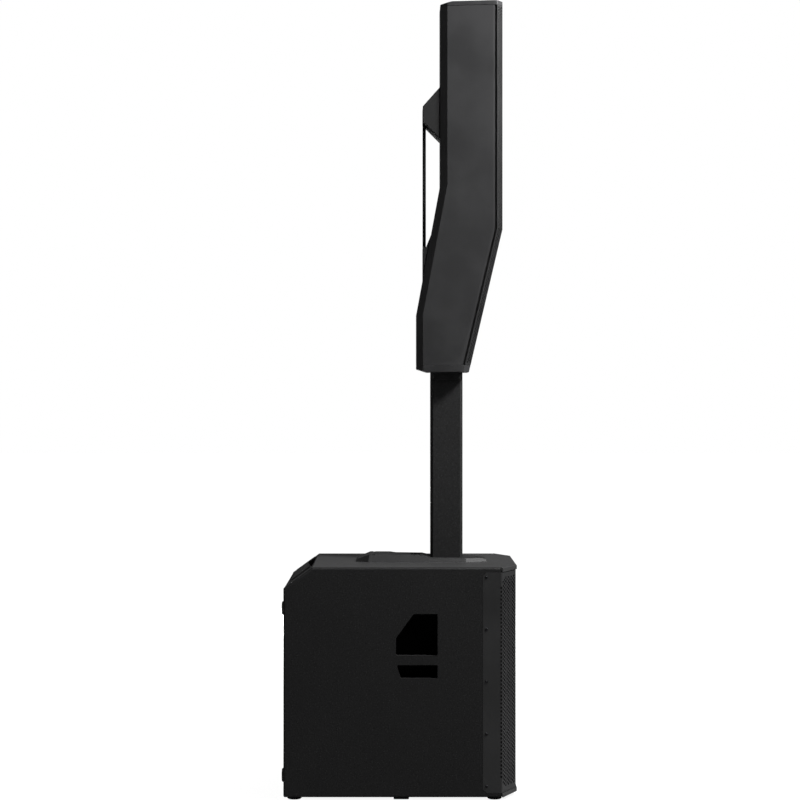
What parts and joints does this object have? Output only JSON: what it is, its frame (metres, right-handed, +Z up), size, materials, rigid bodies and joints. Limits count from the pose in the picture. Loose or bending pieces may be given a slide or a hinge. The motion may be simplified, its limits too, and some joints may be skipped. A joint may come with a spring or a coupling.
{
  "type": "column pa speaker",
  "caption": "Bent column array on a rectangular pole that plugs into a subwoofer cabinet with side hand holes, rubber feet and a rear amplifier panel.",
  "frame": {"origin": "on the floor, under the middle of the whole part's box, with the feet at Z 0", "axes": "+Z up, -Y is the front that faces the listeners, +X is to the right seen from the front's own back"},
  "size_m": [0.4432, 0.584, 2],
  "materials": {
    "textured_paint": "structured black paint on plywood, fine speckle",
    "cap_paint": "smoother black paint",
    "raw_board": "matt black",
    "port_plastic": "matt black moulding",
    "handle_plastic": "fine-grained black moulding",
    "grille_metal": "powder-coated perforated steel",
    "foam": "open-cell acoustic foam",
    "black_steel": "black zinc",
    "rubber": "matt rubber",
    "cast_frame": "black enamel",
    "magnet": "dull ferrite",
    "paper_cone": "coated paper",
    "amp_metal": "fine powder coat",
    "heatsink": "black anodised",
    "circuit_board": "solder mask",
    "board_parts": "moulded and sleeved",
    "metal_posts": "zinc plated",
    "socket_plastic": "black moulding",
    "contact_metal": "bright",
    "base_plastic": "fine-grained black moulding",
    "pole_metal": "satin powder coat",
    "collar_plastic": "satin moulding",
    "column_shell": "satin black, faint fine grain",
    "column_caps": "fine-grained moulding",
    "rim_plastic": "matt black moulding"
  },
  "bodies": {
    "cabinet": {"amp_board": "circuit_board", "amp_board_posts": "metal_posts", "amp_components": "board_parts", "amp_heatsink": "heatsink", "amp_plate": "amp_metal", "amp_screws": "black_steel", "bass_ports": "port_plastic", "bottom_panel": "cap_paint", "cabinet_brace": "raw_board", "cabinet_screws": "black_steel", "connector_plate": "amp_metal", "front_baffle": "raw_board", "front_grille": "grille_metal", "grille_foam": "foam", "grille_screws": "black_steel", "hand_cup_left": "port_plastic", "hand_cup_right": "port_plastic", "input_sockets": "socket_plastic", "latch_spring": "metal_posts", "level_control": "socket_plastic", "link_sockets": "socket_plastic", "pole_base": "base_plastic", "pole_socket": "base_plastic", "power_inlet": "socket_plastic", "power_switch_frame": "socket_plastic", "rear_carry_handle": "handle_plastic", "rear_corner_panel": "textured_paint", "rear_handle_cup": "port_plastic", "rear_panel": "textured_paint", "rubber_feet": "rubber", "side_panel_left": "textured_paint", "side_panel_right": "textured_paint", "socket_pins": "contact_metal", "top_panel": "cap_paint", "woofer_basket": "cast_frame", "woofer_magnet": "magnet", "woofer_surround": "rubber"},
    "pole": {"pole_tube": "pole_metal", "pole_foot": "base_plastic", "pole_collar": "collar_plastic", "pole_contacts": "contact_metal"},
    "column": {"column_housing": "column_shell", "column_top_cap": "column_caps", "column_bottom_cap": "column_caps", "column_socket": "base_plastic", "column_rim": "rim_plastic", "column_grille": "grille_metal", "column_foam": "foam", "column_baffle": "rim_plastic", "crossover_board": "circuit_board", "driver_frames": "cast_frame", "column_top_bracket": "handle_plastic", "column_bottom_bracket": "handle_plastic", "column_grip": "rubber"},
    "woofer_cone_set": {"woofer_cone": "paper_cone"},
    "upper_cone_set": {"upper_cones": "paper_cone"},
    "lower_cone_set": {"lower_cones": "paper_cone"},
    "latch": {"release_latch": "base_plastic"},
    "rocker": {"power_switch_rocker": "socket_plastic"},
    "knob": {"level_knob": "socket_plastic"}
  },
  "joints": [
    {"name": "pole_lift", "type": "slide", "parent": "cabinet", "child": "pole", "axis": [0, 0, 1], "range_m": [0, 0.13]},
    {"name": "column_lift", "type": "slide", "parent": "pole", "child": "column", "axis": [0, 0, 1], "range_m": [0, 0.08]},
    {"name": "woofer_travel", "type": "slide", "parent": "cabinet", "child": "woofer_cone_set", "axis": [0, -1, 0], "range_m": [-0.008, 0.008], "stiffness_N_per_m": 1500},
    {"name": "upper_cone_travel", "type": "slide", "parent": "column", "child": "upper_cone_set", "axis": [0, -1, 0], "range_m": [-0.0015, 0.0015], "stiffness_N_per_m": 600},
    {"name": "lower_cone_travel", "type": "slide", "parent": "column", "child": "lower_cone_set", "axis": [0, -0.9734, -0.229], "range_m": [-0.0015, 0.0015], "stiffness_N_per_m": 600},
    {"name": "latch_pull", "type": "slide", "parent": "cabinet", "child": "latch", "axis": [0, 1, 0], "range_m": [0, 0.006], "stiffness_N_per_m": 300, "deforming": ["latch_spring"]},
    {"name": "power_rock", "type": "hinge", "parent": "cabinet", "child": "rocker", "pos_m": [-0.068, 0.2665, 0.165], "axis": [1, 0, 0], "range_deg": [0, 16]},
    {"name": "level_turn", "type": "hinge", "parent": "cabinet", "child": "knob", "pos_m": [0.12, 0.2765, 0.165], "axis": [0, 1, 0], "range_deg": [-150, 150]}
  ]
}
